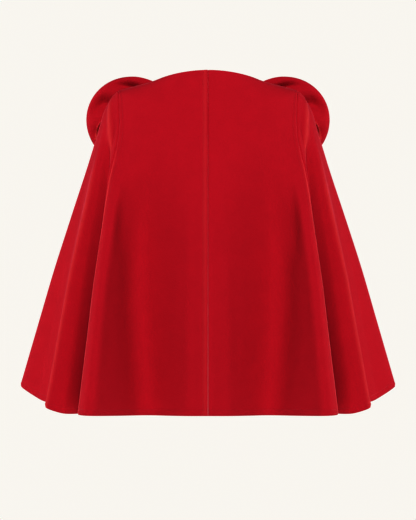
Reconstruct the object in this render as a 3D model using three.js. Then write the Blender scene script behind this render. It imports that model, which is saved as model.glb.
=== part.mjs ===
// A collarless wool cape with a bow at the front neck, in the hollow form that it has when worn.
// Millimetres, +Z up. The wearer faces +Y, so the back of the cape faces -Y and +X is the wearer's right.
// The origin is midway between the two side-neck points, on the ridge of the shoulders.

import * as THREE from 'three'

// The cloth
const WALL = 2
const SEAM_GAP = 0.3
const WOOL = { color: '#BE1020', roughness: 0.92, metalness: 0 }

function table(columns, rows) {
  return rows.map((row) => Object.fromEntries(columns.map((column, i) => [column, row[i]])))
}

// Sections of the body of the cape, from the neck edge to the hem. down is the share of the way,
// measured along the cloth. The half breadth and its height are at the side, where the outline is
// seen from behind. Depths are from the shoulder ridge to the centre back and to the centre front.
// squareness 2 is an ellipse, and more than 2 is fuller at the corners.
const SECTION_COLUMNS = [
  'down', 'halfBreadth', 'sideHeight', 'backDepth', 'backHeight', 'frontDepth', 'frontHeight', 'squareness',
]
const SECTIONS = table(SECTION_COLUMNS, [
  [0, 116, 0, 75, 18, 98, -38, 2],
  [0.052, 154, -9.5, 84, -20, 106, -72, 2],
  [0.104, 192, -20, 92, -58, 112, -106, 2],
  [0.125, 204, -30, 95, -73, 114, -119, 2],
  [0.152, 215, -47, 98, -93, 117, -137, 2.02],
  [0.179, 224, -65, 102, -113, 120, -154, 2.04],
  [0.211, 231, -89, 106, -136, 123, -175, 2.06],
  [0.267, 243, -129, 112, -177, 127, -211, 2.1],
  [0.357, 263, -194, 119, -243, 132, -270, 2.15],
  [0.502, 297, -297, 133, -348, 143, -366, 2.25],
  [0.645, 330, -400, 150, -450, 157, -459, 2.35],
  [0.788, 360, -503, 166, -551, 171, -552, 2.4],
  [1, 404, -655, 190, -701, 190, -690, 2.5],
])

// The seam between a side panel and the back or the front, by its distance from the centre plane.
// It leaves the shoulder point like an armhole, runs straight down and then leans out to the hem.
const SHOULDER_POINT = 0.104
const SIDE_SEAM = table(['down', 'sideways'], [
  [SHOULDER_POINT, 192],
  [0.152, 190],
  [0.211, 189],
  [0.267, 195],
  [0.357, 209],
  [0.502, 222],
  [0.645, 236],
  [0.788, 247],
  [1, 263],
])

// The folds, one row for each crest, valley or seam from the centre back to the centre front. Two plans of
// the cloth give them, one at the elbows and one at the hem. panelsRound says where the row starts at the
// top: from 0 to 1 across the back, to 2 across the side panel and to 3 across the front. steps is the
// number of facets from the row to the next. The folds begin at FOLD_START and grow towards the hem.
const FOLD_COLUMNS = [
  'place', 'panelsRound', 'elbowSideways', 'elbowForward', 'hemSideways', 'hemForward', 'hemHeight', 'steps',
]
const FOLDS = table(FOLD_COLUMNS, [
  ['centre back', 0, 0, -134, 0, -154, -705.5, 2],
  ['back flat', 0.2, 36, -129, 40, -144, -706.5, 4],
  ['back valley', 0.62, 131, -86, 125, -88, -710, 6],
  ['back crest', 0.9, 204, -138, 246, -203, -701, 3],
  ['back seam', 1, 221, -124, 268, -176, -701, 4],
  ['back tuck', 1.09, 213, -62, 253, -66, -707, 3],
  ['side slope', 1.17, 245, -84, 303, -119, -703, 3],
  ['side ridge', 1.24, 266, -88, 340, -116, -691, 2],
  ['side dip', 1.31, 270, -60, 338, -84, -684.5, 2],
  ['side spread', 1.39, 280, -34, 358, -50, -679, 3],
  ['side', 1.51, 296.5, 1, 404, 4, -654, 3],
  ['front spread', 1.63, 281, 34, 360, 56, -671, 2],
  ['front dip', 1.71, 270, 56, 336, 84, -680, 2],
  ['front ridge', 1.78, 267, 77, 338, 112, -686, 3],
  ['front slope', 1.85, 242, 84, 300, 124, -692, 3],
  ['front tuck', 1.92, 215, 93, 256, 108, -697, 4],
  ['front seam', 2, 222, 126, 270, 174, -692, 3],
  ['front crest', 2.1, 202, 141, 246, 201, -690, 6],
  ['front valley', 2.38, 126, 104, 130, 110, -700, 4],
  ['front flat', 2.76, 50, 138, 60, 166, -694, 2],
  ['centre front', 3, 4.5, 143, 9, 176, -692, 0],
])
const FOLD_START = 0.16
const ELBOW = 0.5
const ROWS_ABOVE_SHOULDER_POINT = 3
const ROWS_BELOW_SHOULDER_POINT = 22
const SEARCH_STEPS = 40
const SMALL_STEP = 1e-3

// The bow: its height and place are those of the knot, and the loops are round in outline.
const BOW_HEIGHT = -74
const BOW_FORWARD = 119.25
const BOW_LEAN = 0.17
const LOOP_CENTRE = 171
const LOOP_RADIUS = 98
const LOOP_RISE = 94.5
const LOOP_DROP = 98
const LOOP_END = 3
const LOOP_MOUTH = 31
const LOOP_END_HALF_HEIGHT = 24
const LOOP_END_HALF_DEPTH = 5
const LOOP_EDGE_HALF_DEPTH = 12
const LOOP_MIDDLE_HALF_DEPTH = 27
const LOOP_TURN_BACK = 4
const LOOP_STEPS_ALONG = 24
const LOOP_STEPS_ACROSS = 10
const KNOT_HALF_BREADTH = 28
const KNOT_HALF_HEIGHT = 34
const KNOT_HALF_DEPTH = 14
const KNOT_WAIST = 3
const KNOT_STEPS_ROUND = 28
const KNOT_STEPS_ALONG = 6

// A cubic from one value to another, with a slope at each end.
function smoothStep(start, end, startSlope, endSlope, t) {
  const t2 = t * t
  const t3 = t2 * t
  return start * (2 * t3 - 3 * t2 + 1) + end * (3 * t2 - 2 * t3)
    + startSlope * (t3 - 2 * t2 + t) + endSlope * (t3 - t2)
}

// The value of one column of a table at a share of the way down, on a smooth curve through its rows.
function readTable(rows, column, down) {
  let i = 0
  while (i < rows.length - 2 && down > rows[i + 1].down) i += 1
  const slopeAt = (k) => {
    const before = rows[Math.max(k - 1, 0)]
    const after = rows[Math.min(k + 1, rows.length - 1)]
    return (after[column] - before[column]) / (after.down - before.down)
  }
  const span = rows[i + 1].down - rows[i].down
  const t = (down - rows[i].down) / span
  return smoothStep(rows[i][column], rows[i + 1][column], slopeAt(i) * span, slopeAt(i + 1) * span, t)
}

// The plain body of the cape with no folds. around runs from 0 at the centre back to 1 at the centre front.
function plainBody(around, down) {
  const halfBreadth = readTable(SECTIONS, 'halfBreadth', down)
  const squareness = readTable(SECTIONS, 'squareness', down)
  const end = around < 0.5 ? 'back' : 'front'
  const depth = readTable(SECTIONS, `${end}Depth`, down)
  const endHeight = readTable(SECTIONS, `${end}Height`, down)
  const sideHeight = readTable(SECTIONS, 'sideHeight', down)
  const sin = Math.sin(around * Math.PI)
  const cos = Math.cos(around * Math.PI)
  const sideShare = Math.abs(sin / halfBreadth) ** squareness
  const endShare = Math.abs(cos / depth) ** squareness
  const reach = (sideShare + endShare) ** (-1 / squareness)
  const toSide = (reach * sin / halfBreadth) ** 2
  return new THREE.Vector3(reach * sin, -reach * cos, endHeight + (sideHeight - endHeight) * toSide)
}

// Where the side seam of the back, or of the front, lies on the plain body.
function seamAround(down, end) {
  if (down <= SHOULDER_POINT) return 0.5
  const sideways = readTable(SIDE_SEAM, 'sideways', down)
  let centre = end === 'back' ? 0 : 1
  let side = 0.5
  for (let i = 0; i < SEARCH_STEPS; i += 1) {
    const middle = (centre + side) / 2
    if (plainBody(middle, down).x < sideways) centre = middle
    else side = middle
  }
  return (centre + side) / 2
}

// The folds at any place between two rows of the table, on a centripetal curve through the rows. A place is
// a row number with a fraction. The curve reaches the centre plane square, so the row past an end mirrors
// its neighbour there.
const LAST_ROW = FOLDS.length - 1
const BACK_SEAM = FOLDS.findIndex((row) => row.place === 'back seam')
const FRONT_SEAM = FOLDS.findIndex((row) => row.place === 'front seam')
const MIRRORED_COLUMNS = ['panelsRound', 'elbowSideways', 'hemSideways']

function beyondEnd(end, inner) {
  const row = { ...inner }
  for (const column of MIRRORED_COLUMNS) row[column] = 2 * end[column] - inner[column]
  return row
}

function foldAt(place) {
  const i = Math.min(Math.floor(place), LAST_ROW - 1)
  const t = place - i
  const [first, second] = [FOLDS[i], FOLDS[i + 1]]
  const previous = FOLDS[i - 1] ?? beyondEnd(first, second)
  const next = FOLDS[i + 2] ?? beyondEnd(second, first)
  const rows = [previous, first, second, next]
  const [before, along, after] = [0, 1, 2].map((k) => Math.sqrt(Math.hypot(
    rows[k + 1].hemSideways - rows[k].hemSideways,
    rows[k + 1].hemForward - rows[k].hemForward,
    rows[k + 1].hemHeight - rows[k].hemHeight)))
  const valueOf = (column) => {
    const [a, b, c, d] = rows.map((row) => row[column])
    const start = (b - a) / before - (c - a) / (before + along) + (c - b) / along
    const end = (c - b) / along - (d - b) / (along + after) + (d - c) / after
    return smoothStep(b, c, start * along, end * along, t)
  }
  return {
    panelsRound: valueOf('panelsRound'),
    elbow: new THREE.Vector3(valueOf('elbowSideways'), valueOf('elbowForward'), 0),
    hem: new THREE.Vector3(valueOf('hemSideways'), valueOf('hemForward'), valueOf('hemHeight')),
  }
}

// A panel keeps its share of the cloth between its two seams at every height.
function aroundAt(panelsRound, down) {
  const arounds = [0, seamAround(down, 'back'), seamAround(down, 'front'), 1]
  const panel = Math.min(Math.floor(panelsRound), 2)
  return arounds[panel] + (arounds[panel + 1] - arounds[panel]) * (panelsRound - panel)
}

// How much of the folds at the elbows, and of those at the hem, there is at one height.
function foldShares(down) {
  const elbow = (ELBOW - FOLD_START) / (1 - FOLD_START)
  const t = (down - FOLD_START) / (1 - FOLD_START)
  if (t <= 0) return [0, 0]
  if (t < elbow) return [smoothStep(0, 1, 0, 0, t / elbow), smoothStep(0, 0, 0, elbow, t / elbow)]
  const u = (t - elbow) / (1 - elbow)
  return [smoothStep(1, 0, 0, -1, u), smoothStep(0, 1, 1 - elbow, 1, u)]
}

// A point of the cloth: the plain body, moved by the folds.
function foldedPoint(fold, around, down) {
  const [elbowShare, hemShare] = foldShares(down)
  const atElbow = fold.elbow.clone().sub(plainBody(aroundAt(fold.panelsRound, ELBOW), ELBOW)).setZ(0)
  const atHem = fold.hem.clone().sub(plainBody(aroundAt(fold.panelsRound, 1), 1))
  return plainBody(around, down).addScaledVector(atElbow, elbowShare).addScaledVector(atHem, hemShare)
}

function clothPoint(place, down) {
  const fold = foldAt(place)
  return foldedPoint(fold, aroundAt(fold.panelsRound, down), down)
}

function clothNormal(place, down) {
  const acrossStart = Math.max(place - SMALL_STEP, 0)
  const acrossEnd = Math.min(place + SMALL_STEP, LAST_ROW)
  const across = clothPoint(acrossEnd, down).sub(clothPoint(acrossStart, down))
  const upper = Math.max(down - SMALL_STEP, 0)
  const lower = Math.min(down + SMALL_STEP, 1)
  const fold = foldAt(place)
  const aroundOf = (height) => aroundAt(fold.panelsRound, down > FOLD_START ? height : down)
  const along = foldedPoint(fold, aroundOf(lower), lower).sub(foldedPoint(fold, aroundOf(upper), upper))
  return along.cross(across).normalize()
}

// A closed wall between two grids of points, the face and the back of the cloth. A grid that is closed
// round is a tube, whose last column joins its first.
function wallBetween(face, back, closedRound = false) {
  const rows = face.length
  const columns = face[0].length
  const corners = [...face.flat(), ...back.flat()].flatMap((point) => [point.x, point.y, point.z])
  const corner = (layer, row, column) => (layer * rows + row) * columns + (column % columns)
  const triangles = []
  const quad = (a, b, c, d) => triangles.push(a, b, c, a, c, d)
  const lastColumn = closedRound ? columns : columns - 1
  for (let row = 0; row < rows - 1; row += 1) {
    for (let column = 0; column < lastColumn; column += 1) {
      const [next, below] = [column + 1, row + 1]
      quad(corner(0, row, column), corner(0, below, column), corner(0, below, next), corner(0, row, next))
      quad(corner(1, row, column), corner(1, row, next), corner(1, below, next), corner(1, below, column))
    }
  }
  for (let column = 0; column < lastColumn; column += 1) {
    const [next, bottom] = [column + 1, rows - 1]
    quad(corner(0, 0, column), corner(0, 0, next), corner(1, 0, next), corner(1, 0, column))
    const facing = [corner(0, bottom, next), corner(0, bottom, column)]
    quad(...facing, corner(1, bottom, column), corner(1, bottom, next))
  }
  for (let row = 0; row < rows - 1 && !closedRound; row += 1) {
    const edge = columns - 1
    quad(corner(0, row + 1, 0), corner(0, row, 0), corner(1, row, 0), corner(1, row + 1, 0))
    quad(corner(0, row, edge), corner(0, row + 1, edge), corner(1, row + 1, edge), corner(1, row, edge))
  }
  const geometry = new THREE.BufferGeometry()
  geometry.setAttribute('position', new THREE.Float32BufferAttribute(corners, 3))
  geometry.setIndex(triangles)
  return geometry
}

// The same wall on the other side of the centre plane, with its faces turned to point out again.
function mirrored(geometry) {
  const copy = geometry.clone().scale(-1, 1, 1)
  const index = Array.from(copy.getIndex().array)
  for (let i = 0; i < index.length; i += 3) [index[i], index[i + 1]] = [index[i + 1], index[i]]
  copy.setIndex(index)
  return copy
}

// Moves one edge column of a panel into the panel by half the seam gap, square to the seam and mitred
// where the seam turns. inward is 1 at the first column and -1 at the last.
function insetEdge(face, normals, column, inward) {
  const edge = face.map((points) => points[column].clone())
  edge.forEach((point, row) => {
    const across = [edge[Math.max(row - 1, 0)], edge[Math.min(row + 1, edge.length - 1)]].map((other, i) => {
      const along = i === 0 ? point.clone().sub(other) : other.clone().sub(point)
      return normals[row][column].clone().cross(along).multiplyScalar(inward)
    }).filter((direction) => direction.lengthSq() > 0).map((direction) => direction.normalize())
    const [first, second = first] = across
    const mitre = first.clone().add(second).divideScalar(1 + first.dot(second))
    face[row][column].addScaledVector(mitre, SEAM_GAP / 2)
  })
}

// One panel of the body, between two rows of the folds. Half the seam gap is left at each side.
function panelWall(firstPlace, lastPlace, heights) {
  const places = []
  for (let row = firstPlace; row < lastPlace; row += 1) {
    const steps = FOLDS[row].steps
    for (let i = 0; i < steps; i += 1) places.push(row + i / steps)
  }
  places.push(lastPlace)
  const face = heights.map((down) => places.map((place) => clothPoint(place, down)))
  const normals = heights.map((down) => places.map((place) => clothNormal(place, down)))
  insetEdge(face, normals, 0, 1)
  insetEdge(face, normals, places.length - 1, -1)
  const inward = (point, normal) => point.clone().addScaledVector(normal, -WALL)
  const back = face.map((points, row) => points.map((point, i) => inward(point, normals[row][i])))
  return wallBetween(face, back)
}

function panelHeights() {
  const above = []
  for (let i = 0; i < ROWS_ABOVE_SHOULDER_POINT; i += 1) {
    above.push(SHOULDER_POINT * i / ROWS_ABOVE_SHOULDER_POINT)
  }
  const below = []
  for (let i = 0; i <= ROWS_BELOW_SHOULDER_POINT; i += 1) {
    const share = i / ROWS_BELOW_SHOULDER_POINT
    below.push(SHOULDER_POINT + (1 - SHOULDER_POINT) * share ** 2)
  }
  return { above, below }
}

// A point of the bow, measured from the middle of the knot. The bow leans back with the slope of the chest.
function onChest(sideways, forward, height) {
  return new THREE.Vector3(sideways, BOW_FORWARD + forward - BOW_LEAN * height, BOW_HEIGHT + height)
}

// A loop of the bow: a strip that leaves the knot, turns back at its round outer end and returns.
// along runs from 0 at the mouth of the knot round the loop to 1 there again, with a straight end inside
// the knot before 0 and after 1. across runs from -1 at the lower edge of the strip to 1 at the upper.
function loopPoint(along, across) {
  const lean = across * Math.PI / 2
  const reach = LOOP_CENTRE + LOOP_RADIUS * Math.cos(lean)
  const turn = THREE.MathUtils.clamp(along, 0, 1) * Math.PI
  const out = Math.sin(turn)
  const halfDepth = LOOP_EDGE_HALF_DEPTH + (LOOP_MIDDLE_HALF_DEPTH - LOOP_EDGE_HALF_DEPTH) * Math.cos(lean)
  const edge = across > 0 ? LOOP_RISE : LOOP_DROP
  const halfHeight = LOOP_END_HALF_HEIGHT + (edge - LOOP_END_HALF_HEIGHT) * Math.sin(out * Math.PI / 2)
  const inKnot = Math.max(-along, along - 1, 0) * (LOOP_MOUTH - LOOP_END)
  return onChest(
    LOOP_MOUTH + (reach - LOOP_MOUTH) * out - inKnot,
    -halfDepth * Math.sin(2 * turn) - LOOP_END_HALF_DEPTH * Math.cos(turn) - LOOP_TURN_BACK * out ** 2,
    halfHeight * Math.sin(lean))
}

function loopWall() {
  const alongs = [-1]
  for (let i = 0; i <= LOOP_STEPS_ALONG; i += 1) alongs.push(i / LOOP_STEPS_ALONG)
  alongs.push(2)
  const face = []
  const back = []
  for (let j = 0; j <= LOOP_STEPS_ACROSS; j += 1) {
    const across = 1 - 2 * j / LOOP_STEPS_ACROSS
    const inside = across * (1 - SMALL_STEP)
    const points = alongs.map((along) => loopPoint(along, across))
    face.push(points)
    back.push(points.map((point, i) => {
      const along = alongs[i]
      const alongTangent = loopPoint(along + SMALL_STEP, inside).sub(loopPoint(along - SMALL_STEP, inside))
      const acrossTangent = loopPoint(along, inside + SMALL_STEP).sub(loopPoint(along, inside - SMALL_STEP))
      const normal = alongTangent.cross(acrossTangent).normalize()
      return point.clone().addScaledVector(normal, -WALL)
    }))
  }
  return wallBetween(face, back)
}

// The knot: a band of cloth round the gathered ends of the loops, drawn in a little at its middle.
function knotWall() {
  const ring = (side, inset) => {
    const waist = KNOT_WAIST * (1 - side * side)
    const points = []
    for (let i = 0; i < KNOT_STEPS_ROUND; i += 1) {
      const angle = 2 * Math.PI * i / KNOT_STEPS_ROUND
      points.push(onChest(
        side * KNOT_HALF_BREADTH,
        -(KNOT_HALF_DEPTH - waist / 2 - inset) * Math.cos(angle),
        (KNOT_HALF_HEIGHT - waist - inset) * Math.sin(angle)))
    }
    return points
  }
  const sides = Array.from({ length: KNOT_STEPS_ALONG + 1 }, (_, i) => 2 * i / KNOT_STEPS_ALONG - 1)
  return wallBetween(sides.map((side) => ring(side, 0)), sides.map((side) => ring(side, WALL)), true)
}

const cape = new THREE.Group()
const wool = new THREE.MeshStandardMaterial(WOOL)

function addPiece(name, geometry) {
  const mesh = new THREE.Mesh(geometry, wool.clone())
  mesh.name = name
  cape.add(mesh)
}

const { above, below } = panelHeights()
const pairs = {
  back: panelWall(0, BACK_SEAM, [...above, ...below]),
  side: panelWall(BACK_SEAM, FRONT_SEAM, below.slice(1)),
  front: panelWall(FRONT_SEAM, LAST_ROW, [...above, ...below]),
  bow_loop: loopWall(),
}
for (const [name, geometry] of Object.entries(pairs)) {
  addPiece(`${name}_right`, geometry)
  addPiece(`${name}_left`, mirrored(geometry))
}
addPiece('bow_knot', knotWall())

export default cape
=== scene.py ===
import math
from functools import lru_cache

import bmesh
import bpy
import numpy as np
from mathutils import Matrix, Vector


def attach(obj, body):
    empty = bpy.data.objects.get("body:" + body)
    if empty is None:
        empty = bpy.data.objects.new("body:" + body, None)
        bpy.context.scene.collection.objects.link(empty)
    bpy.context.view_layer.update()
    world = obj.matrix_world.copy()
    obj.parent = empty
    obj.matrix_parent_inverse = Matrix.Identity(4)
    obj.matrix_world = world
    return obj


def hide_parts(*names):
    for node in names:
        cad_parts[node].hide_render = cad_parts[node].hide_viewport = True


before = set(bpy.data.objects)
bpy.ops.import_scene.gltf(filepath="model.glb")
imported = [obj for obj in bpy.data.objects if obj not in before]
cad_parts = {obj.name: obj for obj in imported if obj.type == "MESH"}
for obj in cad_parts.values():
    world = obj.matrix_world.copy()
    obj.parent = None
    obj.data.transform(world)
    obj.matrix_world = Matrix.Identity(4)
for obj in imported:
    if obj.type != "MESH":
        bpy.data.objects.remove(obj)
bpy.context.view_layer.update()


# The body of the cape: two backs, two side panels and two fronts, cut from one double-faced wool cloth
# about 2 mm thick and sewn edge to edge. The cloth hangs from the shoulders in soft flutes. Sizes are in
# metres, and down is the share of the way from the neck edge to the hem, measured along the cloth.
CLOTH_THICKNESS = 0.002
HALF_SEAM_GAP = 0.00015
# down, half breadth, side height, back depth, back height, front depth, front height, squareness
SECTIONS = np.array([
    (0, 0.116, 0, 0.075, 0.018, 0.098, -0.038, 2),
    (0.052, 0.154, -0.0095, 0.084, -0.020, 0.106, -0.072, 2),
    (0.104, 0.192, -0.020, 0.092, -0.058, 0.112, -0.106, 2),
    (0.125, 0.204, -0.030, 0.095, -0.073, 0.114, -0.119, 2),
    (0.152, 0.215, -0.047, 0.098, -0.093, 0.117, -0.137, 2.02),
    (0.179, 0.224, -0.065, 0.102, -0.113, 0.120, -0.154, 2.04),
    (0.211, 0.231, -0.089, 0.106, -0.136, 0.123, -0.175, 2.06),
    (0.267, 0.243, -0.129, 0.112, -0.177, 0.127, -0.211, 2.1),
    (0.357, 0.263, -0.194, 0.119, -0.243, 0.132, -0.270, 2.15),
    (0.502, 0.297, -0.297, 0.133, -0.348, 0.143, -0.366, 2.25),
    (0.645, 0.330, -0.400, 0.150, -0.450, 0.157, -0.459, 2.35),
    (0.788, 0.360, -0.503, 0.166, -0.551, 0.171, -0.552, 2.4),
    (1, 0.404, -0.655, 0.190, -0.701, 0.190, -0.690, 2.5),
])
SHOULDER_POINT = 0.104
# down, distance of the side seam from the centre plane
SIDE_SEAM = np.array([
    (SHOULDER_POINT, 0.192), (0.152, 0.190), (0.211, 0.189), (0.267, 0.195), (0.357, 0.209),
    (0.502, 0.222), (0.645, 0.236), (0.788, 0.247), (1, 0.263),
])
# The folds, a row for each crest, valley or seam: panels round (0 to 1 across the back, to 2 across the
# side and to 3 across the front), elbow sideways, elbow forward, hem sideways, hem forward, hem height
FOLD_ROWS = np.array([
    (0, 0, -0.134, 0, -0.154, -0.7055),
    (0.20, 0.036, -0.129, 0.040, -0.144, -0.7065),
    (0.62, 0.131, -0.086, 0.125, -0.088, -0.7100),
    (0.90, 0.204, -0.138, 0.246, -0.203, -0.7010),
    (1, 0.221, -0.124, 0.268, -0.176, -0.7010),
    (1.09, 0.213, -0.062, 0.253, -0.066, -0.7070),
    (1.17, 0.245, -0.084, 0.303, -0.119, -0.7030),
    (1.24, 0.266, -0.088, 0.340, -0.116, -0.6910),
    (1.31, 0.270, -0.060, 0.338, -0.084, -0.6845),
    (1.39, 0.280, -0.034, 0.358, -0.050, -0.6790),
    (1.51, 0.2965, 0.001, 0.404, 0.004, -0.6540),
    (1.63, 0.281, 0.034, 0.360, 0.056, -0.6710),
    (1.71, 0.270, 0.056, 0.336, 0.084, -0.6800),
    (1.78, 0.267, 0.077, 0.338, 0.112, -0.6860),
    (1.85, 0.242, 0.084, 0.300, 0.124, -0.6920),
    (1.92, 0.215, 0.093, 0.256, 0.108, -0.6970),
    (2, 0.222, 0.126, 0.270, 0.174, -0.6920),
    (2.10, 0.202, 0.141, 0.246, 0.201, -0.6900),
    (2.38, 0.126, 0.104, 0.130, 0.110, -0.7000),
    (2.76, 0.050, 0.138, 0.060, 0.166, -0.6940),
    (3, 0.0045, 0.143, 0.009, 0.176, -0.6920),
])
BACK_SEAM = 4
FRONT_SEAM = 16
LAST_ROW = len(FOLD_ROWS) - 1
FOLD_START = 0.16
ELBOW = 0.5
CLOTH_SPACING = 0.0040
SEAM_SEARCH_STEPS = 40
FINE_STEPS_A_ROW = 40
CLOTH_BELOW_SHOULDER = 0.66
CLOTH_ABOVE_SHOULDER = 0.078
CLOSER_AT_SHOULDER = 1.35
CREASE_RISE = 0.35
CREASE_END = 0.25


@lru_cache(maxsize=None)
def section_at(down):
    return read_rows(SECTIONS, down)[1:]


def read_rows(rows, down):
    """Every column of a table at one share of the way down, on smooth curves through its rows."""
    places = rows[:, 0]
    i = int(np.clip(np.searchsorted(places, down, side="right") - 1, 0, len(rows) - 2))

    def slope(k):
        before, after = rows[max(k - 1, 0)], rows[min(k + 1, len(rows) - 1)]
        return (after - before) / (after[0] - before[0])

    span = places[i + 1] - places[i]
    t = (down - places[i]) / span
    start = rows[i] * (2 * t**3 - 3 * t**2 + 1) + slope(i) * span * (t**3 - 2 * t**2 + t)
    end = rows[i + 1] * (3 * t**2 - 2 * t**3) + slope(i + 1) * span * (t**3 - t**2)
    return start + end


def plain_body(around, down):
    """Points of the body with no folds, with around from 0 at the centre back to 1 at the centre front."""
    breadth, side_height, back_depth, back_height, front_depth, front_height, squareness = section_at(down)
    sin, cos = np.sin(around * math.pi), np.cos(around * math.pi)
    depth = np.where(around < 0.5, back_depth, front_depth)
    end_height = np.where(around < 0.5, back_height, front_height)
    reach = (np.abs(sin / breadth)**squareness + np.abs(cos / depth)**squareness)**(-1 / squareness)
    height = end_height + (side_height - end_height) * (reach * sin / breadth)**2
    return np.stack([reach * sin, -reach * cos, height], axis=-1)


@lru_cache(maxsize=None)
def seam_around(down, centre):
    """Where the side seam lies, from the back (centre 0) or from the front (centre 1)."""
    if down <= SHOULDER_POINT:
        return 0.5
    sideways = read_rows(SIDE_SEAM, down)[1]
    inner, outer = float(centre), 0.5
    for _ in range(SEAM_SEARCH_STEPS):
        middle = (inner + outer) / 2
        if plain_body(np.array([middle]), down)[0, 0] < sideways:
            inner = middle
        else:
            outer = middle
    return (inner + outer) / 2


def beyond_end(end, inner):
    """The row past the first or the last one, so that the curve leaves it square to the centre plane."""
    mirrored = np.array([1, 1, 0, 1, 0, 0])
    return inner + 2 * (end - inner) * mirrored


def fold_point(place):
    """A row of the fold table at any place between its rows, on a centripetal curve through them."""
    i = min(int(place), LAST_ROW - 1)
    t = place - i
    rows = [FOLD_ROWS[k] if 0 <= k <= LAST_ROW else None for k in range(i - 1, i + 3)]
    if rows[0] is None:
        rows[0] = beyond_end(rows[1], rows[2])
    if rows[3] is None:
        rows[3] = beyond_end(rows[2], rows[1])
    steps = [rows[k + 1] - rows[k] for k in range(3)]
    before, along, after = (math.sqrt(np.linalg.norm(step[3:])) for step in steps)
    start = steps[0] / before - (rows[2] - rows[0]) / (before + along) + steps[1] / along
    end = steps[1] / along - (rows[3] - rows[1]) / (along + after) + steps[2] / after
    rise = (2 * t**3 - 3 * t**2 + 1, 3 * t**2 - 2 * t**3, t**3 - 2 * t**2 + t, t**3 - t**2)
    return rows[1] * rise[0] + rows[2] * rise[1] + start * along * rise[2] + end * along * rise[3]


def around_at(panels_round, down):
    """A panel keeps its share of the cloth between its two seams at every height."""
    return np.interp(panels_round, range(4), [0, seam_around(down, 0), seam_around(down, 1), 1])


def fold_shares(down):
    """How much of the folds at the elbows and of those at the hem there is at one height."""
    if down <= FOLD_START:
        return 0, 0
    elbow = (ELBOW - FOLD_START) / (1 - FOLD_START)
    t = (down - FOLD_START) / (1 - FOLD_START)
    if t < elbow:
        u = t / elbow
        return 3 * u**2 - 2 * u**3, (u**3 - u**2) * elbow
    u = (t - elbow) / (1 - elbow)
    leaving, arriving = u**3 - 2 * u**2 + u, u**3 - u**2
    rise = 3 * u**2 - 2 * u**3
    return 1 - rise - arriving, leaving * (1 - elbow) + rise + arriving


def cloth_points(places, downs):
    """A grid of points on the face of the cloth: a row for each down, a column for each place."""
    folds = np.array([fold_point(place) for place in places])
    panels_round = folds[:, 0]
    at_elbow = folds[:, 1:3] - plain_body(around_at(panels_round, ELBOW), ELBOW)[:, :2]
    at_elbow = np.concatenate([at_elbow, np.zeros((len(places), 1))], axis=1)
    at_hem = folds[:, 3:] - plain_body(around_at(panels_round, 1.0), 1.0)
    rows = []
    for down in downs:
        elbow_share, hem_share = fold_shares(down)
        plain = plain_body(around_at(panels_round, down), down)
        rows.append(plain + at_elbow * elbow_share + at_hem * hem_share)
    return np.array(rows)


def even_places(first, last):
    """Places of the hem line between two of its rows, at even spaces along the cloth."""
    fine = np.linspace(first, last, FINE_STEPS_A_ROW * (last - first) + 1)
    points = np.array([fold_point(place)[3:] for place in fine])
    lengths = np.concatenate([[0], np.cumsum(np.linalg.norm(np.diff(points, axis=0), axis=1))])
    count = round(lengths[-1] / CLOTH_SPACING)
    return np.interp(np.linspace(0, lengths[-1], count + 1), lengths, fine)


def surface_normals(points):
    """The outward normals of a grid whose rows run down and whose columns run from back to front."""
    along = np.gradient(points, axis=0)
    across = np.gradient(points, axis=1)
    normals = np.cross(along, across)
    return normals / np.linalg.norm(normals, axis=-1, keepdims=True)


def running_length(points, axis):
    steps = np.linalg.norm(np.diff(points, axis=axis), axis=-1)
    zero = np.zeros_like(np.take(steps, [0], axis=axis))
    return np.concatenate([zero, np.cumsum(steps, axis=axis)], axis=axis)


def bump_at(distance, centre, width):
    """A rounded bump, 1 at its centre."""
    return np.exp(-((distance - centre) / width)**2)


def smooth_rise(value, start, end):
    """0 before start, 1 after end, and smooth between them."""
    share = np.clip((value - start) / (end - start), 0, 1)
    return share**2 * (3 - 2 * share)


def crease_relief(across, downs, creases):
    """Soft troughs (depth below 0) and ridges (above 0) down a panel.

    They fade at both ends, but where foot is 1 they run on to the hem.
    """
    relief = np.zeros(across.shape)
    for top, foot, top_share, foot_share, width, depth in creases:
        share = (downs - top) / (foot - top)
        fade = smooth_rise(share, 0, CREASE_RISE)
        if foot < 1:
            fade = fade * smooth_rise(1 - share, 0, CREASE_END)
        centre = (top_share + (foot_share - top_share) * share)[:, None] * across[:, -1:]
        relief += (fade * depth)[:, None] * bump_at(across, centre, width)
    return relief


def panel_downs(top):
    """Rows of a panel from top to the hem, closer together just below the shoulder point."""
    count = round(CLOTH_BELOW_SHOULDER / CLOTH_SPACING)
    below = SHOULDER_POINT + (1 - SHOULDER_POINT) * np.linspace(0, 1, count + 1)**CLOSER_AT_SHOULDER
    if top > 0:
        return below[1:]
    count = round(CLOTH_ABOVE_SHOULDER / CLOTH_SPACING)
    above = np.linspace(0, SHOULDER_POINT, count, endpoint=False)
    return np.concatenate([above, below])


def hex_colour(code):
    """An sRGB hex value as linear red, green, blue and alpha."""
    values = [int(code[i:i + 2], 16) / 255 for i in (1, 3, 5)]
    return [v / 12.92 if v <= 0.04045 else ((v + 0.055) / 1.055)**2.4 for v in values] + [1]


def add_node(tree, kind, settings=(), inputs=()):
    """Adds a node: settings are its own options, and inputs are values or the sockets that feed it."""
    node = tree.nodes.new(kind)
    for name, value in dict(settings).items():
        setattr(node, name, value)
    for name, value in dict(inputs).items():
        if isinstance(value, bpy.types.NodeSocket):
            tree.links.new(value, node.inputs[name])
        else:
            node.inputs[name].default_value = value
    return node


NAP_SIZE = 0.0022
CLOUD_SIZE = 0.03


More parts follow.
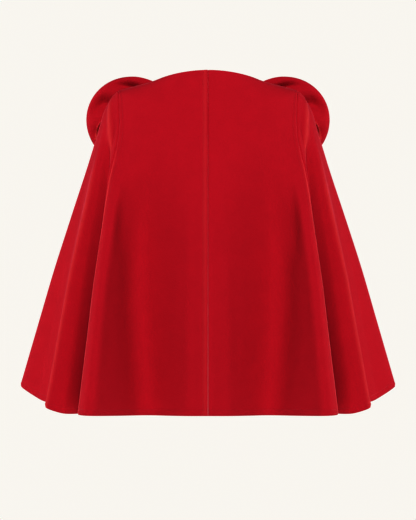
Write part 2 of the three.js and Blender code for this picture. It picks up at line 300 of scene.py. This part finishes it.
def brushed_wool():
    """Double-faced wool, milled and brushed: a matt red with a short nap, with a pale salmon painted
    highlight mixed in where the mesh attribute asks for it.
    """
    material = bpy.data.materials.new("brushed double-faced wool")
    material.use_nodes = True
    tree = material.node_tree
    surface = tree.nodes["Principled BSDF"]
    where = add_node(tree, "ShaderNodeTexCoord").outputs["Object"]
    cloudy = add_node(tree, "ShaderNodeTexNoise", {}, {"Vector": where, "Scale": 1 / CLOUD_SIZE, "Detail": 3})
    nap = add_node(tree, "ShaderNodeTexNoise", {}, {"Vector": where, "Scale": 1 / NAP_SIZE, "Detail": 4})
    # Painted highlight: a pale salmon is mixed into the red where the mesh attribute says. It stands in for
    # the sheen on fold edges, seams and ridges.
    painted_highlight_attribute = add_node(tree, "ShaderNodeAttribute", {"attribute_name": "painted_highlight"})
    factor, first, second, mixed = 0, 6, 7, 2
    shade = add_node(tree, "ShaderNodeMix", {"data_type": "RGBA"}, {
        factor: cloudy.outputs["Fac"], first: hex_colour("#B21D32"), second: hex_colour("#BA1F35")})
    with_painted_highlight = add_node(tree, "ShaderNodeMix", {"data_type": "RGBA"}, {
        factor: painted_highlight_attribute.outputs["Fac"], first: shade.outputs[mixed], second: hex_colour("#D85A58")})
    fibres = add_node(tree, "ShaderNodeMix", {"data_type": "RGBA", "blend_type": "MULTIPLY"}, {
        factor: 0.22, first: with_painted_highlight.outputs[mixed], second: nap.outputs["Fac"]})
    tree.links.new(fibres.outputs[mixed], surface.inputs["Base Color"])
    fuzz = add_node(tree, "ShaderNodeBump", {}, {
        "Strength": 0.5, "Distance": 0.0006, "Height": nap.outputs["Fac"]})
    tree.links.new(fuzz.outputs["Normal"], surface.inputs["Normal"])
    surface.inputs["Roughness"].default_value = 0.95
    surface.inputs["Specular IOR Level"].default_value = 0.2
    surface.inputs["Sheen Weight"].default_value = 0.22
    surface.inputs["Sheen Roughness"].default_value = 0.3
    surface.inputs["Sheen Tint"].default_value = hex_colour("#FF8FA0")
    return material


wool = brushed_wool()
EDGE_SOFTNESS = 0.0006
EDGE_ANGLE = math.radians(60)


def sheet_object(name, points, mirrored, painted_highlight=None):
    """A wall of cloth behind a grid of points, with its cut edges softened, and a painted highlight stored on
    it where told.
    """
    rows, columns = points.shape[:2]
    mesh = bpy.data.meshes.new(name)
    bm = bmesh.new()
    painted_highlight_attribute = bm.verts.layers.float.new("painted_highlight")
    bmesh.ops.create_grid(bm, x_segments=columns - 1, y_segments=rows - 1, size=1, calc_uvs=True)
    for vertex in bm.verts:
        column = round((vertex.co.x + 1) / 2 * (columns - 1))
        row = round((1 - vertex.co.y) / 2 * (rows - 1))
        vertex.co = points[row, column]
        if mirrored:
            vertex.co.x = -vertex.co.x
        if painted_highlight is not None:
            vertex[painted_highlight_attribute] = painted_highlight[row, column]
    if mirrored:
        bmesh.ops.reverse_faces(bm, faces=bm.faces)
    for face in bm.faces:
        face.smooth = True
    bm.to_mesh(mesh)
    bm.free()
    mesh.materials.append(wool)
    piece = bpy.data.objects.new(name, mesh)
    bpy.context.scene.collection.objects.link(piece)
    wall = piece.modifiers.new("cloth thickness", "SOLIDIFY")
    wall.thickness = CLOTH_THICKNESS
    wall.offset = -1
    edge = piece.modifiers.new("soft cut edges", "BEVEL")
    edge.width = EDGE_SOFTNESS
    edge.segments = 2
    edge.limit_method = "ANGLE"
    edge.angle_limit = EDGE_ANGLE
    return piece


def inset_columns(points):
    """Leaves half the seam gap at the first and the last column."""
    for edge, inner in ((0, 1), (-1, -2)):
        step = points[:, inner] - points[:, edge]
        points[:, edge] += step / np.linalg.norm(step, axis=-1, keepdims=True) * HALF_SEAM_GAP
    return points


# The stitches: a matching silk thread, beside the felled seams and along the turned hem
thread = bpy.data.materials.new("matching silk thread")
thread.use_nodes = True
thread_surface = thread.node_tree.nodes["Principled BSDF"]
thread_surface.inputs["Base Color"].default_value = hex_colour("#8E1220")
thread_surface.inputs["Roughness"].default_value = 0.45
thread_surface.inputs["Sheen Weight"].default_value = 0.2
SEAM_STITCHING = 0.0105
HEM_STITCHING = 0.0125
STITCH_PITCH = 0.0034
STITCH_LENGTH = 0.0025
THREAD_RADIUS = 0.00026


def stitched(name, lines, mirrored):
    """Rows of stitches as one mesh: a short thread lies on the cloth at every pitch along each line."""
    bm = bmesh.new()
    for line in lines:
        steps = np.linalg.norm(np.diff(line, axis=0), axis=1)
        lengths = np.concatenate([[0], np.cumsum(steps)])
        starts = np.arange(STITCH_PITCH, lengths[-1] - STITCH_PITCH, STITCH_PITCH)
        for start in starts:
            ends = [Vector([np.interp(at, lengths, line[:, axis]) for axis in range(3)])
                    for at in (start, start + STITCH_LENGTH)]
            along = ends[1] - ends[0]
            turn = along.to_track_quat("Z", "Y").to_matrix().to_4x4()
            size = Matrix.Diagonal((THREAD_RADIUS, THREAD_RADIUS, along.length / 2, 1))
            place = Matrix.Translation((ends[0] + ends[1]) / 2) @ turn @ size
            bmesh.ops.create_icosphere(bm, subdivisions=1, radius=1, matrix=place)
    if mirrored:
        bmesh.ops.scale(bm, vec=(-1, 1, 1), verts=bm.verts)
        bmesh.ops.reverse_faces(bm, faces=bm.faces)
    for face in bm.faces:
        face.smooth = True
    mesh = bpy.data.meshes.new(name)
    bm.to_mesh(mesh)
    bm.free()
    mesh.materials.append(thread)
    piece = bpy.data.objects.new(name, mesh)
    bpy.context.scene.collection.objects.link(piece)
    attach(piece, "root")


def line_beside(points, from_edge, inset):
    """A line down a panel, or across it, at one distance from an edge of its cloth."""
    line = []
    for row, distances in zip(points, from_edge):
        order = np.argsort(distances)
        line.append([np.interp(inset, distances[order], row[order, axis]) for axis in range(3)])
    return np.array(line)


def above_hem(points):
    """The distance of each point up the cloth from the hem."""
    length = running_length(points, 0)
    return length[-1][None, :] - length


def hem_line(points, inset):
    """A line along the foot of a panel, at one distance above its hem."""
    return line_beside(points.transpose(1, 0, 2), above_hem(points).T, inset)


HEM_WIDTH = 0.012
HEM_THICKNESS = 0.0006
HEM_GROOVE = 0.0007
HEM_CURL = 0.0025


def hem_relief(points):
    """The turned and stitched edge at the foot of a panel, which curls in a little."""
    up = above_hem(points)
    band = HEM_THICKNESS / (1 + np.exp((up - HEM_WIDTH) / 0.0012))
    line = -HEM_GROOVE * bump_at(up, HEM_WIDTH, 0.0014)
    return band + line - HEM_CURL * bump_at(up, 0, 0.0035)


SOFT_GROOVE = 0.0014
FRONT_GROOVE = 0.0022
DEEP_GROOVE = 0.0035
FELLED_WIDTH = 0.0095
FELLED_THICKNESS = 0.0011
FELLED_GROOVE = 0.0006


def seam_relief(distance, felled, groove):
    """A seam: a groove at the join, and on the felled side the stitched-down allowance."""
    relief = -groove * bump_at(distance, 0, 0.0018)
    if felled:
        relief += FELLED_THICKNESS / (1 + np.exp((distance - FELLED_WIDTH) / 0.0008))
        relief -= FELLED_GROOVE * bump_at(distance, FELLED_WIDTH + 0.001, 0.0012)
    return relief


# Strengths of the painted highlights: along the folded edge beside each side seam, and on the felled band
# beside the centre back seam
EDGE_HIGHLIGHT = 0.8
SEAM_HIGHLIGHT = 0.15


def painted_edge_highlight(from_seam, downs):
    """A painted highlight along the folded edge beside a side seam, weaker near its top."""
    along = smooth_rise(downs, 0.24, 0.38) * (0.75 + 0.25 * downs)
    return along[:, None] * bump_at(from_seam, 0.001, 0.0045) * EDGE_HIGHLIGHT


# down at the top and at the foot, share of the panel's breadth there, width and depth
BACK_CREASES = {
    "right": [(0.25, 1, 0, 0, 0.020, 0.0045), (0.15, 0.60, 0.87, 0.74, 0.020, -0.0048),
              (0.26, 1, 0.76, 0.46, 0.034, -0.0060), (0.30, 1, 0.97, 0.87, 0.020, 0.0030),
              (0.42, 0.93, 0.22, 0.19, 0.012, -0.0006)],
    "left": [(0.25, 1, 0, 0, 0.020, 0.0045), (0.15, 0.58, 0.88, 0.75, 0.021, -0.0045),
             (0.25, 1, 0.75, 0.45, 0.034, -0.0058), (0.32, 1, 0.96, 0.86, 0.020, 0.0028),
             (0.50, 1, 0.19, 0.21, 0.012, -0.0005)],
}
back_places = even_places(0, BACK_SEAM)
back_downs = panel_downs(0)
back_face = cloth_points(back_places, back_downs)
for side, mirrored in (("right", False), ("left", True)):
    across = running_length(back_face, 1)
    from_side = across[:, -1:] - across
    relief = seam_relief(across, mirrored, SOFT_GROOVE)
    relief += seam_relief(from_side, True, DEEP_GROOVE)
    relief += hem_relief(back_face) + crease_relief(across, back_downs, BACK_CREASES[side])
    points = back_face + surface_normals(back_face) * relief[..., None]
    painted_highlight = painted_edge_highlight(from_side, back_downs)
    # On the left back there is also a painted highlight on the felled band beside the centre back seam
    if mirrored:
        painted_highlight += SEAM_HIGHLIGHT * bump_at(across, 0.0065, 0.0035)
    back = sheet_object(f"back_{side}_cloth", points, mirrored, painted_highlight)
    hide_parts(f"back_{side}")
    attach(back, "root")
    lines = [line_beside(points, from_side, SEAM_STITCHING), hem_line(points, HEM_STITCHING)]
    if mirrored:
        lines.append(line_beside(points, across, SEAM_STITCHING))
    stitched(f"back_{side}_stitches", lines, mirrored)


# The side panels cover the arms. Each is set in at the shoulder point like a sleeve cap and runs to the
# hem, where it spreads into the deepest flutes of the cape.
SIDE_CREASES = {
    "right": [(0.32, 1, 0.20, 0.165, 0.012, 0.0012), (0.36, 1, 0.42, 0.40, 0.016, -0.0016),
              (0.30, 0.9, 0.60, 0.62, 0.014, -0.0014), (0.42, 1, 0.80, 0.84, 0.012, 0.0012)],
    "left": [(0.35, 1, 0.19, 0.170, 0.012, 0.0012), (0.30, 1, 0.44, 0.41, 0.015, -0.0014),
             (0.38, 1, 0.58, 0.61, 0.015, -0.0016), (0.34, 0.95, 0.81, 0.85, 0.012, 0.0012)],
}
CAP_TOP = 0.11
CAP_FOOT = 0.34
CAP_REACH = 0.029
CAP_HALF_WIDTH = 0.0080
CAP_HEIGHT = 0.0045
# Strength of the painted highlight on the sleeve-cap roll
CAP_HIGHLIGHT = 0.38


def cap_roll(from_seam, downs):
    """The eased cloth of the sleeve cap stands in a soft roll beside the seam and runs into it lower down."""
    share = np.clip((downs - CAP_TOP) / (CAP_FOOT - CAP_TOP), 0, 1)
    centre = (CAP_REACH * (1 - share**4))[:, None]
    strength = smooth_rise(share, 0.02, 0.3) * smooth_rise(1 - share, 0, 0.25)
    return strength[:, None] * bump_at(from_seam, centre, CAP_HALF_WIDTH)


RIDGE_ROW = 7
# Strength of the painted highlight along the side panel's ridge
RIDGE_HIGHLIGHT = 0.3


def painted_ridge_highlight(across, places, downs):
    """A faint painted highlight along the sharpest ridge of the side panel."""
    centre = np.array([np.interp(RIDGE_ROW, places, row) for row in across])[:, None]
    return RIDGE_HIGHLIGHT * smooth_rise(downs, 0.28, 0.45)[:, None] * bump_at(across, centre, 0.0055)


side_places = even_places(BACK_SEAM, FRONT_SEAM)
side_downs = panel_downs(SHOULDER_POINT)
side_face = cloth_points(side_places, side_downs)
for side, mirrored in (("right", False), ("left", True)):
    across = running_length(side_face, 1)
    from_front = across[:, -1:] - across
    relief = seam_relief(across, False, DEEP_GROOVE) + seam_relief(from_front, False, DEEP_GROOVE)
    relief += hem_relief(side_face)
    roll = cap_roll(across, side_downs) + cap_roll(from_front, side_downs)
    relief += CAP_HEIGHT * roll + crease_relief(across, side_downs, SIDE_CREASES[side])
    points = side_face + surface_normals(side_face) * relief[..., None]
    # Painted highlights on the sleeve-cap roll and along the side panel's ridge
    painted_highlight = CAP_HIGHLIGHT * roll**2 + painted_ridge_highlight(across, side_places, side_downs)
    panel = sheet_object(f"side_{side}_cloth", points, mirrored, painted_highlight)
    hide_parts(f"side_{side}")
    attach(panel, "root")
    stitched(f"side_{side}_stitches", [hem_line(points, HEM_STITCHING)], mirrored)


# The fronts hang from the shoulder seam and meet edge to edge under the knot of the bow.
front_places = even_places(FRONT_SEAM, LAST_ROW)
front_downs = panel_downs(0)
front_face = cloth_points(front_places, front_downs)
for side, mirrored in (("right", False), ("left", True)):
    across = running_length(front_face, 1)
    from_centre = across[:, -1:] - across
    relief = seam_relief(across, True, FRONT_GROOVE) + seam_relief(from_centre, True, FRONT_GROOVE)
    relief += hem_relief(front_face)
    points = inset_columns(front_face + surface_normals(front_face) * relief[..., None])
    front = sheet_object(f"front_{side}_cloth", points, mirrored)
    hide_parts(f"front_{side}")
    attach(front, "root")
    lines = [line_beside(points, across, SEAM_STITCHING), line_beside(points, from_centre, SEAM_STITCHING),
             hem_line(points, HEM_STITCHING)]
    stitched(f"front_{side}_stitches", lines, mirrored)


# The bow: two round loops of the same cloth, gathered into the knot. Each leaves the knot behind, turns
# at its round outer end and comes back in front, and is open and hollow at its upper and lower edges.
BOW_HEIGHT = -0.074
BOW_FORWARD = 0.11925
BOW_LEAN = 0.17
LOOP_CENTRE = 0.171
LOOP_RADIUS = 0.098
LOOP_RISE = 0.0945
LOOP_DROP = 0.098
LOOP_END = 0.003
LOOP_MOUTH = 0.031
LOOP_END_HALF_HEIGHT = 0.024
LOOP_END_HALF_DEPTH = 0.005
LOOP_EDGE_HALF_DEPTH = 0.012
LOOP_MIDDLE_HALF_DEPTH = 0.027
LOOP_TURN_BACK = 0.004


def on_chest(sideways, forward, height):
    return np.stack([sideways, BOW_FORWARD + forward - BOW_LEAN * height, BOW_HEIGHT + height], axis=-1)


def loop_points(along, across):
    """along is 0 to 1 round the loop, past both ends inside the knot, and across is -1 to 1."""
    lean = across * math.pi / 2
    turn = np.clip(along, 0, 1) * math.pi
    out = np.sin(turn)
    reach = LOOP_CENTRE + LOOP_RADIUS * np.cos(lean)
    half_depth = LOOP_EDGE_HALF_DEPTH + (LOOP_MIDDLE_HALF_DEPTH - LOOP_EDGE_HALF_DEPTH) * np.cos(lean)
    edge = np.where(across > 0, LOOP_RISE, LOOP_DROP)
    half_height = LOOP_END_HALF_HEIGHT + (edge - LOOP_END_HALF_HEIGHT) * np.sin(out * math.pi / 2)
    in_knot = np.maximum(np.maximum(-along, along - 1), 0) * (LOOP_MOUTH - LOOP_END)
    forward = -half_depth * np.sin(2 * turn) - LOOP_END_HALF_DEPTH * np.cos(turn) - LOOP_TURN_BACK * out**2
    return on_chest(LOOP_MOUTH + (reach - LOOP_MOUTH) * out - in_knot, forward, half_height * np.sin(lean))


# The gathers run out of the knot like the ribs of a fan: rise from the knot in degrees, half width and
# depth. The layer next to the chest has its own.
BACK_GATHERS = [(42, 3.5, 0.007), (24, 4.0, 0.018), (8.5, 4.5, 0.018), (-9.5, 4.0, 0.017), (-26, 5, 0.012),
                (-42, 4, 0.006)]
FRONT_GATHERS = [(38, 5, 0.007), (22, 5, 0.011), (6, 4, 0.009), (-11, 5, 0.012), (-29, 5, 0.008)]
RIM_WIDTH = 0.22
# A second fold of the layer next to the chest stands up low at its outer end: sideways and height
FOLD_PATH = np.array([
    (0.236, -0.080), (0.2425, -0.0895), (0.2475, -0.099), (0.2500, -0.108), (0.2492, -0.1175)])
FOLD_RIDGE = 0.0030
FOLD_TROUGH = 0.0075
# Strength of the painted highlight along the ridge of that fold
FOLD_HIGHLIGHT = 0.6


def gather_relief(points, along, across):
    """How far the cloth falls in at the gathers. They stop short of the rounded rim."""
    sideways = np.abs(points[..., 0])
    rise = points[..., 2] - BOW_HEIGHT
    angle = np.degrees(np.arctan2(rise, sideways))
    edge = np.where(rise > 0, LOOP_RISE, LOOP_DROP)
    out = np.sin(np.clip(along, 0, 1) * math.pi)
    half_height = LOOP_END_HALF_HEIGHT + (edge - LOOP_END_HALF_HEIGHT) * np.sin(out * math.pi / 2)
    to_rim = np.hypot(np.maximum(sideways - LOOP_CENTRE, 0) / LOOP_RADIUS, rise / half_height)
    fade = smooth_rise(1 - to_rim, 0.03, RIM_WIDTH)
    fade = fade * smooth_rise(sideways, LOOP_MOUTH - 0.004, LOOP_MOUTH + 0.03)
    relief = np.zeros(along.shape)
    for layer, gathers in ((along < 0.5, BACK_GATHERS), (along >= 0.5, FRONT_GATHERS)):
        for centre, half_width, depth in gathers:
            relief -= layer * fade * depth * bump_at(angle, centre, half_width)
    return relief


def beside_path(points, path):
    """The distance of each point from a path seen from behind, with opposite signs on its two sides."""
    flat = points[..., [0, 2]]
    nearest = np.full(flat.shape[:2], np.inf)
    signed = np.zeros(flat.shape[:2])
    for start, end in zip(path[:-1], path[1:]):
        step = end - start
        share = np.clip((flat - start) @ step / (step @ step), 0, 1)
        offset = flat - start - share[..., None] * step
        distance = np.linalg.norm(offset, axis=-1)
        side_of_path = np.sign(step[1] * offset[..., 0] - step[0] * offset[..., 1])
        closer = distance < nearest
        nearest = np.where(closer, distance, nearest)
        signed = np.where(closer, distance * side_of_path, signed)
    return signed


loop_along = np.concatenate([np.linspace(-1, 0, 8, endpoint=False), np.linspace(0, 0.28, 62, endpoint=False),
                             np.linspace(0.28, 0.5, 100, endpoint=False), np.linspace(0.5, 1, 88),
                             np.linspace(1, 2, 9)[1:]])
loop_across = np.concatenate([np.linspace(1, 0, 45, endpoint=False), np.linspace(0, -0.5, 56, endpoint=False),
                              np.linspace(-0.5, -1, 30)])
loop_grid = np.meshgrid(loop_along, loop_across)
loop_plain = loop_points(*loop_grid)
loop_relief = gather_relief(loop_plain, *loop_grid)
from_fold = beside_path(loop_plain, FOLD_PATH)
behind = smooth_rise(0.5 - loop_grid[0], 0, 0.04)
fold_relief = FOLD_RIDGE * bump_at(from_fold, 0, 0.0016) - FOLD_TROUGH * bump_at(from_fold, 0.0045, 0.0030)
loop_relief += behind * fold_relief
# A painted highlight along the ridge of the standing fold
loop_painted_highlight = behind * FOLD_HIGHLIGHT * bump_at(from_fold, 0, 0.0014)
loop_face = loop_plain + surface_normals(loop_plain) * loop_relief[..., None]
for side, mirrored in (("right", False), ("left", True)):
    loop = sheet_object(f"bow_loop_{side}_cloth", loop_face, mirrored, loop_painted_highlight)
    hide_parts(f"bow_loop_{side}")
    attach(loop, "root")


# The knot: a band of cloth wrapped round the gathers and caught to the front neck edge.
KNOT_HALF_BREADTH = 0.028
KNOT_HALF_HEIGHT = 0.034
KNOT_HALF_DEPTH = 0.014
KNOT_WAIST = 0.003
knot_side, knot_turn = np.meshgrid(np.linspace(-1, 1, 31), np.linspace(0, 2 * math.pi, 97))
waist = KNOT_WAIST * (1 - knot_side**2)
knot_face = on_chest(
    knot_side * KNOT_HALF_BREADTH,
    (KNOT_HALF_DEPTH - waist / 2) * np.cos(knot_turn),
    (KNOT_HALF_HEIGHT - waist) * np.sin(knot_turn))
knot = sheet_object("bow_knot_cloth", knot_face, False)
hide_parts("bow_knot")
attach(knot, "root")


# The studio: a pale floor far below the hem, as under a standing wearer, and a long lens about level with
# the middle of the cape. The strongest light is high behind the camera. Weak softboxes stand at both sides,
# stronger edge lights a little towards the wearer's front, and one more light faces that front.
FLOOR_HEIGHT = -1.40
FLOOR_RADIUS = 3.0
bm = bmesh.new()
bmesh.ops.create_circle(bm, cap_ends=True, segments=96, radius=FLOOR_RADIUS)
bmesh.ops.translate(bm, verts=bm.verts, vec=(0, 0, FLOOR_HEIGHT))
floor_mesh = bpy.data.meshes.new("studio_floor")
bm.to_mesh(floor_mesh)
bm.free()
floor = bpy.data.objects.new("studio_floor", floor_mesh)
bpy.context.scene.collection.objects.link(floor)
paper = bpy.data.materials.new("pale backdrop paper")
paper.use_nodes = True
paper.node_tree.nodes["Principled BSDF"].inputs["Base Color"].default_value = hex_colour("#F4F0EA")
paper.node_tree.nodes["Principled BSDF"].inputs["Roughness"].default_value = 0.9
floor_mesh.materials.append(paper)


def soft_light(name, location, size, power, target=(0, 0, -0.35)):
    light = bpy.data.lights.new(name, "AREA")
    light.shape = "RECTANGLE"
    light.size, light.size_y = size
    light.energy = power
    lamp = bpy.data.objects.new(name, light)
    lamp.location = location
    direction = lamp.location - type(lamp.location)(target)
    lamp.rotation_euler = direction.to_track_quat("Z", "Y").to_euler()
    bpy.context.scene.collection.objects.link(lamp)


soft_light("softbox_left", (-3.0, 0.0, -0.2), (1.2, 2.6), 14)
soft_light("softbox_right", (3.0, 0.0, -0.2), (1.2, 2.6), 14)
soft_light("edge_light_left", (-2.9, 0.8, 0.0), (1.2, 2.4), 68)
soft_light("edge_light_right", (2.9, 0.8, 0.0), (1.2, 2.4), 68)
soft_light("softbox_behind_camera", (0, -4.2, 2.2), (1.2, 0.8), 294)
soft_light("softbox_front_of_wearer", (0, 3.6, 0.6), (2.4, 1.6), 70)

world = bpy.data.worlds.new("studio")
bpy.context.scene.world = world
world.use_nodes = True
backdrop = world.node_tree.nodes["Background"]
backdrop.inputs["Color"].default_value = hex_colour("#FBF9F5")
ray = add_node(world.node_tree, "ShaderNodeLightPath")
level = add_node(world.node_tree, "ShaderNodeMapRange", {}, {
    "Value": ray.outputs["Is Camera Ray"], "To Min": 0.0, "To Max": 1.0})
world.node_tree.links.new(level.outputs["Result"], backdrop.inputs["Strength"])
bpy.context.scene.view_settings.view_transform = "Standard"
bpy.context.scene.view_settings.gamma = 0.62

CAMERA_DISTANCE = 4.0
CAMERA_HEIGHT = -0.383
SENSOR_WIDTH = 36
PICTURE_WIDTH = 416
METRES_A_PIXEL = 0.00215
camera_data = bpy.data.cameras.new("camera")
camera = bpy.data.objects.new("camera", camera_data)
camera.location = (0, -CAMERA_DISTANCE, CAMERA_HEIGHT)
camera.rotation_euler = (math.radians(90), 0, 0)
camera_data.sensor_fit = "HORIZONTAL"
camera_data.sensor_width = SENSOR_WIDTH
camera_data.lens = SENSOR_WIDTH * CAMERA_DISTANCE / (PICTURE_WIDTH * METRES_A_PIXEL)
bpy.context.scene.collection.objects.link(camera)
bpy.context.scene.camera = camera
